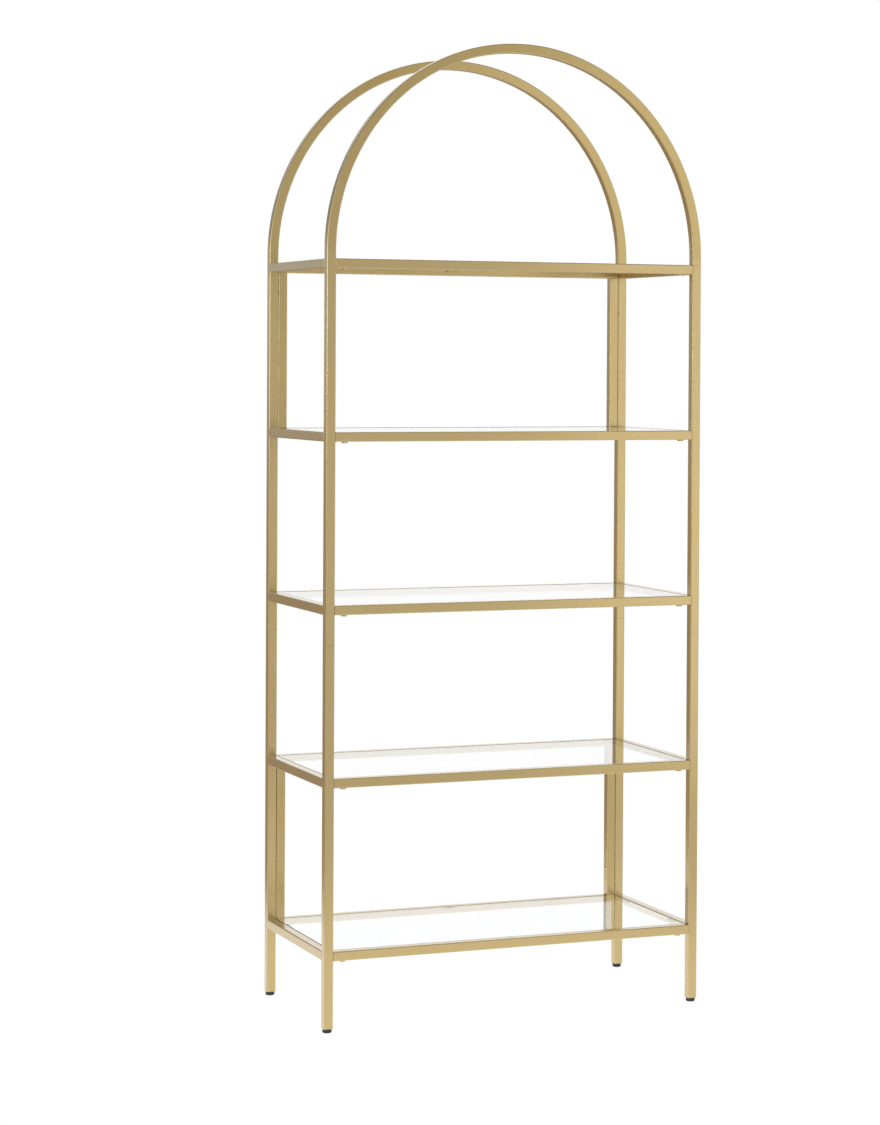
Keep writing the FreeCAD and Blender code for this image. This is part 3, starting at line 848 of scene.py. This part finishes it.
@dataclass
class TubeFrame:
    """The welded and bolted frame: posts, arches, shelf rails and the stiles of the back frames."""

    finishes: Finishes
    body: str = "frame"
    rail_ease: float = 0.2 * MM
    bolt_inset: float = 60 * MM
    section: TubeSection = TubeSection()

    def fit(self, tube: Tube, node: str) -> None:
        """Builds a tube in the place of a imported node."""
        self.finishes.place(tube.build(f"{node}_tube"), Slot.GOLD, self.body, node)

    def posts(self) -> None:
        """Builds the four posts, each an upper and a lower length with a fine seam between them."""
        for corner in CORNERS:
            for half in ("lower", "upper"):
                node = f"{corner}_{half}_post"
                self.fit(Tube(StraightPath.through(node), self.section), node)

    def rails(self) -> None:
        """Builds the four rails of each shelf frame."""
        for number in SHELF_NUMBERS:
            for place in (*ENDS, *SIDES):
                node = f"{place}_rail_{number}"
                self.fit(Tube(StraightPath.through(node), self.section, self.rail_ease), node)

    def stiles(self) -> None:
        """Builds the back frames' uprights, with countersunk holes in the faces turned to each other."""
        for level in FRAME_LEVELS:
            for side, quarter_turns in (("left", 0), ("right", 2)):
                node = f"{level}_{side}_stile"
                path = StraightPath.through(node)
                holes = (self.bolt_inset, path.length - self.bolt_inset)
                tube = Tube(path, self.section, self.rail_ease, holes=holes, holes_face=quarter_turns)
                self.fit(tube, node)

    def arches(self) -> None:
        """Builds the two arches on the post tops."""
        for end in ENDS:
            low, high = corners_of(f"{end}_arch")
            path = ArchPath(
                span=float(high[0] - self.section.side / 2),
                foot=float(low[2]),
                depth=float((low[1] + high[1]) / 2),
            )
            self.fit(Tube(path, self.section), f"{end}_arch")

    def build(self) -> None:
        """Builds the whole frame."""
        self.posts()
        self.arches()
        self.rails()
        self.stiles()


# Glass, feet and fastenings


@dataclass
class GlassShelves:
    """The five loose panes, with rounded corners and polished edges."""

    finishes: Finishes
    corner: float = 3 * MM
    edge: float = 0.6 * MM
    corner_steps: int = 6
    edge_steps: int = 3

    def surface(self, node: str) -> GridSurface:
        """Works out a pane: an outline with round corners, carried up the edge's profile.

        The edge's profile is a quarter circle in, then straight up, then a quarter circle out again. Each row
        is the outline moved inwards by the profile's inset.

        Args:
            node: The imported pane.

        Returns:
            The pane's surface, capped by its two faces.
        """
        low, high = corners_of(node)
        inward, upward = quarter_round(self.edge_steps)
        insets = self.edge * np.concatenate([inward, inward[::-1]])
        heights = np.concatenate([low[2] + self.edge * upward, high[2] - self.edge * upward[::-1]])
        outlines, _ = rounded_outline((high - low)[:2] / 2, self.corner, insets, self.corner_steps)
        height = np.broadcast_to(heights[:, None, None], (*outlines.shape[:2], 1))
        return GridSurface(np.concatenate([outlines + (low + high)[:2] / 2, height], axis=-1))

    def build(self) -> None:
        """Builds the panes, each on a body of its own, because each lifts out."""
        for number in SHELF_NUMBERS:
            node = f"glass_pane_{number}"
            piece = self.surface(node).build(f"{node}_plate")
            self.finishes.place(piece, Slot.GLASS, f"pane_{number}", node)


@dataclass
class LevellingFeet:
    """The four feet: a moulded round pad with a threaded stem set in it."""

    finishes: Finishes
    sole_edge: float = 3 * MM
    top_edge: float = 0.8 * MM
    waist: float = 0.2 * MM
    edge_steps: int = 6
    thread_pitch: float = 1.25 * MM
    thread_depth: float = 0.6 * MM
    rows_per_turn: int = 10
    stem_columns: int = 40

    def measures(self, node: str) -> tuple[float, float, Array]:
        """Gives a round node's radius, its height and the foot of its axis."""
        low, high = corners_of(node)
        return (high - low)[0] / 2, (high - low)[2], np.array([*((low + high) / 2)[:2], low[2]])

    def pad(self, node: str) -> GridSurface:
        """Works out a pad: a turned profile with rounded edges and a slightly drawn-in waist.

        The profile goes up the outside, from the wide round of the sole to the small round of the top, each a
        quarter circle. Between them the radius is drawn in by the waist times the sine of the height.

        Args:
            node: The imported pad.

        Returns:
            The pad's surface.
        """
        radius, height, centre = self.measures(node)
        inward, upward = quarter_round(self.edge_steps)
        share = np.linspace(0, 1, 2 * self.edge_steps + 1)[1:-1]
        draws = [self.sole_edge * inward, self.waist * np.sin(pi * share), self.top_edge * inward[::-1]]
        side_heights = self.sole_edge + share * (height - self.sole_edge - self.top_edge)
        heights = [self.sole_edge * upward, side_heights, height - self.top_edge * upward[::-1]]
        return GridSurface(revolved(radius - np.concatenate(draws), np.concatenate(heights), centre))

    def stem(self, node: str) -> GridSurface:
        """Works out a threaded stem: its radius is a triangle wave of the height less the turn.

        r = crest radius - depth times |2 f - 1|, where f is the fraction of height / pitch - angle / full
        turn. At both ends the thread fades into the root radius.

        Args:
            node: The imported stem.

        Returns:
            The stem's surface.
        """
        radius, height, centre = self.measures(node)
        rows = int(round(height / self.thread_pitch * self.rows_per_turn))
        heights = np.linspace(0, height, rows)
        angle = np.linspace(0, 1, self.stem_columns, endpoint=False)
        phase = (heights[:, None] / self.thread_pitch - angle[None]) % 1.0
        fade = np.clip(np.minimum(heights, height - heights) / self.thread_pitch, 0, 1)[:, None]
        groove = self.thread_depth * (1 - fade * (1 - np.abs(2 * phase - 1)))
        return GridSurface(revolved(radius - groove, heights, centre, self.stem_columns))

    def build(self) -> None:
        """Builds the feet on their own bodies, because each one screws out."""
        for corner in CORNERS:
            body, pad, stem = f"{corner}_leveller", f"{corner}_foot_pad", f"{corner}_foot_stem"
            self.finishes.place(self.pad(pad).build(f"{pad}_moulding"), Slot.BLACK, body, pad)
            self.finishes.place(self.stem(stem).build(f"{stem}_thread"), Slot.ZINC, body, stem)


@dataclass
class Bolts:
    """The bolts: low heads under the rails, countersunk heads in the stiles, all with hexagon sockets."""

    finishes: Finishes
    body: str = "frame"
    head_radius: float = 6 * MM
    shank_radius: float = 2.9 * MM
    low_head: float = 3 * MM
    low_edge: float = 0.8 * MM
    sunk_edge: float = 0.15 * MM
    edge_steps: int = 4
    socket_width: float = 4 * MM
    socket_depth: float = 1.9 * MM
    socket_lead: float = 0.25 * MM
    tip: float = 0.8 * MM
    rail_bolt_length: float = 14.5 * MM
    frame_bolt_length: float = 30.4 * MM
    rail_offset: float = 22 * MM
    stile_inset: float = TubeFrame.bolt_inset
    columns: int = 48

    def hexagon(self) -> Array:
        """Gives the socket's radius round the turn: half its width over the cosine of the angle to a flat."""
        angle = np.linspace(0, 2 * pi, self.columns, endpoint=False)
        to_flat = (angle + pi / 6) % (pi / 3) - pi / 6
        return self.socket_width / 2 / np.cos(to_flat)

    def turned(self, head: BoltHead) -> tuple[Array, Array]:
        """Works out a bolt standing on its head: the radius over the turn and the height, row by row.

        The rows go from the socket's floor up its hexagon to the mouth, across the head's face, round its
        quarter-circle edge, along its side or cone, down the shank and round the tip. The lowest point of
        the head's face is at height zero.

        Args:
            head: The kind of head.

        Returns:
            Points, rows by columns by xyz, and the wear of each point.
        """
        low = head is BoltHead.LOW
        edge = self.low_edge if low else self.sunk_edge
        length = self.rail_bolt_length if low else self.frame_bolt_length
        inward, upward = quarter_round(self.edge_steps)
        under_radii = [self.head_radius, self.shank_radius] if low else [self.shank_radius]
        cone = self.head_radius - self.shank_radius
        under_heights = [self.low_head, self.low_head] if low else [cone]
        tip_radii = [self.shank_radius, self.shank_radius - self.tip]
        outside = np.concatenate([self.head_radius - edge * inward, under_radii, tip_radii])
        socket_heights, tip_heights = [self.socket_depth, self.socket_lead, 0], [length - self.tip, length]
        heights = np.concatenate([socket_heights, edge * upward, under_heights, tip_heights])
        hexagon = self.hexagon()
        socket = np.stack([hexagon, hexagon, hexagon + self.socket_lead])
        radii = np.concatenate([socket, np.broadcast_to(outside[:, None], (len(outside), self.columns))])
        mouth = len(socket) - 1
        wear = np.zeros(len(heights))
        wear[mouth : mouth + 1 + len(inward)] = 1.0
        points = revolved(radii, heights, np.zeros(3), self.columns)
        return points, np.broadcast_to(wear[:, None], radii.shape)

    def rail_bolts(self) -> None:
        """Builds the bolts under both ends of each bolted rail."""
        points, wear = self.turned(BoltHead.LOW)
        for rail in (*(f"front_rail_{number}" for number in SHELF_NUMBERS), "rear_rail_3"):
            low, high = corners_of(rail)
            for side, x in (("left", low[0] + self.rail_offset), ("right", high[0] - self.rail_offset)):
                place = np.array([x, (low[1] + high[1]) / 2, low[2] - self.low_head])
                piece = GridSurface(points + place, edge=wear).build(f"{rail}_{side}_bolt")
                self.finishes.place(piece, Slot.GOLD, self.body, "rail_bolts")

    def frame_bolts(self) -> None:
        """Builds the bolts through the stiles, which point at the posts beside them."""
        points, wear = self.turned(BoltHead.SUNK)
        for level in FRAME_LEVELS:
            for side, toward in (("left", -1), ("right", 1)):
                low, high = corners_of(f"{level}_{side}_stile")
                face = high[0] if side == "left" else low[0]
                lying = points[..., [2, 0, 1]] * np.array([toward, 1, 1])
                for name, z in (("lower", low[2] + self.stile_inset), ("upper", high[2] - self.stile_inset)):
                    place = np.array([face, (low[1] + high[1]) / 2, z])
                    piece = GridSurface(lying + place, edge=wear).build(f"{level}_{side}_stile_{name}_bolt")
                    self.finishes.place(piece, Slot.GOLD, self.body, "frame_bolts")

    def build(self) -> None:
        """Builds every bolt."""
        self.rail_bolts()
        self.frame_bolts()


@dataclass
class Hardware:
    """What stays as packed: tabs, bumpers and the pieces inside the tubes, each with its finish."""

    finishes: Finishes
    gold: tuple[str, ...] = ("glass_tabs",)
    zinc: tuple[str, ...] = ("rail_tongues", "arch_spigots", "post_spigots", "frame_rivet_nuts")
    black: tuple[str, ...] = ("foot_plugs",)
    clear: tuple[str, ...] = ("glass_bumpers",)

    def build(self) -> None:
        """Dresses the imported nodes."""
        slots = (Slot.GOLD, Slot.ZINC, Slot.BLACK, Slot.BUMPER)
        for slot, names in zip(slots, (self.gold, self.zinc, self.black, self.clear)):
            for name in names:
                self.finishes.dress(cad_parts[name], slot)
                log.info("%s: dressed as %s", name, slot.value)


# Studio and camera


@dataclass(frozen=True)
class Softbox:
    """A flat studio lamp that shines on a point of the unit."""

    name: str
    place: tuple[float, float, float]
    aim: tuple[float, float, float]
    width: float
    height: float
    glow: float

    def build(self) -> None:
        """Adds the lamp, turned towards its aim, with the power that gives its face the glow."""
        lamp = bpy.data.lights.new(self.name, "AREA")
        lamp.shape = "RECTANGLE"
        lamp.size, lamp.size_y = self.width, self.height
        lamp.energy = self.glow * pi * self.width * self.height
        holder = new_object(self.name, lamp)
        holder.location = self.place
        toward = Vector(self.aim) - Vector(self.place)
        holder.rotation_euler = toward.to_track_quat("-Z", "Y").to_euler()
        holder.visible_camera = False
        holder.visible_transmission = False


@dataclass(frozen=True)
class PaperWall:
    """A white paper wall of the studio, as wide as an angle seen from the unit.

    Its middle is turned from the back of the unit towards the right. The paper is white up to one angle from
    the middle and has faded into the room at another.
    """

    turn: float
    white: float
    faded: float

    def share(self, add: AddNode, direction: NodeSocket) -> Node:
        """Gives 1 where a direction meets the paper and 0 where it meets the room.

        Args:
            add: Adds nodes to the world.
            direction: The direction's socket.

        Returns:
            The node with the share.
        """
        middle = (sin(self.turn), cos(self.turn), 0.0)
        toward = add("VectorMath", {0: direction, 1: middle}, operation="DOT_PRODUCT")
        fade = {"From Min": cos(self.faded), "From Max": cos(self.white)}
        return add("MapRange", {"Value": toward, **fade}, **SMOOTH)


@dataclass(frozen=True)
class Studio:
    """A white studio: paper under the unit, white walls behind it and at its sides, and a dimmer room.

    The floor and the room are white to the eye and through glass. In reflections the floor is white only near
    the unit, where the paper lies, and the room only where the walls hang. The bare floor is pale grey at the
    front and brownish boards at the back, and the upper room and the ceiling are dimmer at the back.
    """

    floor_reach: float = 60.0
    floor_hex: str = "#606060"
    paper_hex: str = "#FAFAFA"
    paper_near: float = 1.0
    paper_far: float = 1.8
    front_floor_hex: str = "#CBCBCB"
    back_floor_hex: str = "#A1917B"
    room_level: float = 0.405
    lower_back: float = 0.52
    upper_back: float = 0.2
    upper_start: float = radians(3)
    upper_full: float = radians(8)
    ceiling_front: float = 0.9
    ceiling_back: float = 0.35
    back_blend: float = 0.3
    ceiling_start: float = radians(22)
    ceiling_full: float = radians(40)
    walls: tuple[PaperWall, ...] = (
        PaperWall(turn=radians(22), white=radians(31), faded=radians(37)),
        PaperWall(turn=radians(-95), white=radians(40), faded=radians(52)),
        PaperWall(turn=radians(85), white=radians(40), faded=radians(55)),
    )
    lamps: tuple[Softbox, ...] = (
        Softbox("key", place=(1.25, -1.75, 1.4), aim=(0.2, 0.0, 1.2), width=0.8, height=2.4, glow=0.48),
        Softbox("front", place=(0.6, -7.0, 1.9), aim=(0.0, 0.0, 1.0), width=6.0, height=4.0, glow=0.2),
        Softbox("edge", place=(-3.4, -1.2, 1.45), aim=(0.0, 0.0, 1.4), width=2.4, height=0.4, glow=4.0),
        Softbox("top", place=(0.0, 0.4, 4.6), aim=(0.0, 0.0, 0.8), width=2.6, height=1.8, glow=1.0),
    )

    def seen_directly(self, add: AddNode) -> Node:
        """Gives 1 for rays from the camera and for what shows through glass, and 0 for other rays."""
        rays = add("LightPath").outputs
        return add("Math", {0: rays["Is Camera Ray"], 1: rays["Is Transmission Ray"]}, operation="MAXIMUM")

    def floor_colour(self, add: AddNode) -> Node:
        """Gives the floor's glow: white paper near the unit, then the bare floor of the front and the back.

        Args:
            add: Adds nodes to the floor's material.

        Returns:
            The node with the colour.
        """
        place = add("TexCoord").outputs["Object"]
        depth = add("SeparateXYZ", {0: place}).outputs["Y"]
        middle = {"From Min": -self.paper_near, "From Max": self.paper_near}
        backward = add("MapRange", {"Value": depth, **middle}, **SMOOTH)
        front, back = linear(self.front_floor_hex), linear(self.back_floor_hex)
        bare = add("Mix", {"Factor": backward, "A": front, "B": back}, data_type="RGBA")
        away = add("VectorMath", {0: place}, operation="LENGTH")
        rim = {"From Min": self.paper_near, "From Max": self.paper_far}
        outward = add("MapRange", {"Value": away, **rim}, **SMOOTH)
        paper = linear(self.paper_hex)
        mirrored = add("Mix", {"Factor": outward, "A": paper, "B": bare}, data_type="RGBA")
        return add("Mix", {"Factor": self.seen_directly(add), "A": mirrored, "B": paper}, data_type="RGBA")

    def floor(self) -> None:
        """Adds the floor, which glows by floor_colour and keeps the unit's shadow in its matt part."""
        reach = self.floor_reach
        mesh = bpy.data.meshes.new("floor")
        corners = [(-reach, -reach, 0), (reach, -reach, 0), (reach, reach, 0), (-reach, reach, 0)]
        mesh.from_pydata(corners, [], [(0, 1, 2, 3)])
        material = bpy.data.materials.new("white_studio_floor")
        add = emptied(material)
        glow = add("Emission", {"Color": self.floor_colour(add)})
        matt = add("BsdfDiffuse", {"Color": linear(self.floor_hex)})
        add("OutputMaterial", {"Surface": add("AddShader", {0: glow, 1: matt})})
        mesh.materials.append(material)
        new_object("floor", mesh)

    def room(self) -> None:
        """Sets the world: white for the eye and through glass, and for other rays where the walls hang."""
        world = bpy.data.worlds.new("white_studio")
        bpy.context.scene.world = world
        add = emptied(world)
        direction = add("TexCoord").outputs["Generated"]
        shares = [wall.share(add, direction) for wall in self.walls]
        paper = shares[0]
        for share in shares[1:]:
            paper = add("Math", {0: paper, 1: share}, operation="MAXIMUM")
        axes = add("SeparateXYZ", {0: direction}).outputs
        blend = {"From Min": -self.back_blend, "From Max": self.back_blend}
        ceiling, upper, lower = (
            add("MapRange", {"Value": axes["Y"], **blend, "To Min": front, "To Max": back}, **SMOOTH)
            for front, back in (
                (self.ceiling_front, self.ceiling_back),
                (self.room_level, self.upper_back),
                (self.room_level, self.lower_back),
            )
        )
        white, dim = (
            add("MapRange", {"Value": axes["Z"], **slopes, "To Min": below, "To Max": above}, **SMOOTH)
            for slopes, below, above in (
                ({"From Min": sin(self.ceiling_start), "From Max": sin(self.ceiling_full)}, 1.0, ceiling),
                ({"From Min": sin(self.upper_start), "From Max": sin(self.upper_full)}, lower, upper),
            )
        )
        room = add("Math", {0: white, 1: dim}, operation="MULTIPLY")
        mirrored = add("MapRange", {"Value": paper, "To Min": room, "To Max": white})
        level = add("MapRange", {"Value": self.seen_directly(add), "To Min": mirrored, "To Max": 1.0})
        add("OutputWorld", {"Surface": add("Background", {"Color": WHITE, "Strength": level})})

    def build(self) -> None:
        """Builds the floor, the room and the lamps, and sets the plain view transform."""
        self.floor()
        self.room()
        for lamp in self.lamps:
            lamp.build()
        bpy.context.scene.view_settings.view_transform = "Standard"


@dataclass(frozen=True)
class PhotoCamera:
    """The camera of the photograph, worked out from the lines of the posts and rails in it."""

    frame_px: tuple[int, int] = (880, 1125)
    focal_px: float = 2882.96
    centre_px: tuple[float, float] = (479.98, 411.62)
    place: tuple[float, float, float] = (-2.24981, -5.51708, 1.32010)
    turn: float = -0.3863
    tilt: float = radians(-1.0)
    roll: float = 0.0053
    sensor: float = 36.0

    def build(self) -> None:
        """Adds the camera and makes it the scene's own."""
        width, height = self.frame_px
        data = bpy.data.cameras.new("photo_camera")
        data.sensor_width = self.sensor
        data.lens = self.focal_px * self.sensor / max(width, height)
        data.shift_x = (width / 2 - self.centre_px[0]) / max(width, height)
        data.shift_y = (self.centre_px[1] - height / 2) / max(width, height)
        level = Vector((-sin(self.turn), cos(self.turn), 0.0))
        up = Vector((0.0, 0.0, 1.0))
        right = level.cross(up)
        forward = cos(self.tilt) * level + sin(self.tilt) * up
        upward = right.cross(forward)
        rolled_right = cos(self.roll) * right + sin(self.roll) * upward
        rolled_up = cos(self.roll) * upward - sin(self.roll) * right
        camera = new_object("photo_camera", data)
        axes = Matrix((rolled_right, rolled_up, -forward)).transposed().to_4x4()
        camera.matrix_world = Matrix.Translation(self.place) @ axes
        bpy.context.scene.camera = camera


def main() -> None:
    """Builds the dressed unit, then the studio and the camera."""
    logging.basicConfig(level=logging.INFO, format="%(message)s")
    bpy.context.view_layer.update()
    finishes = Finishes()
    finishes.build()
    TubeFrame(finishes).build()
    GlassShelves(finishes).build()
    LevellingFeet(finishes).build()
    Bolts(finishes).build()
    Hardware(finishes).build()
    Studio().build()
    PhotoCamera().build()


if __name__ == "__main__":
    main()
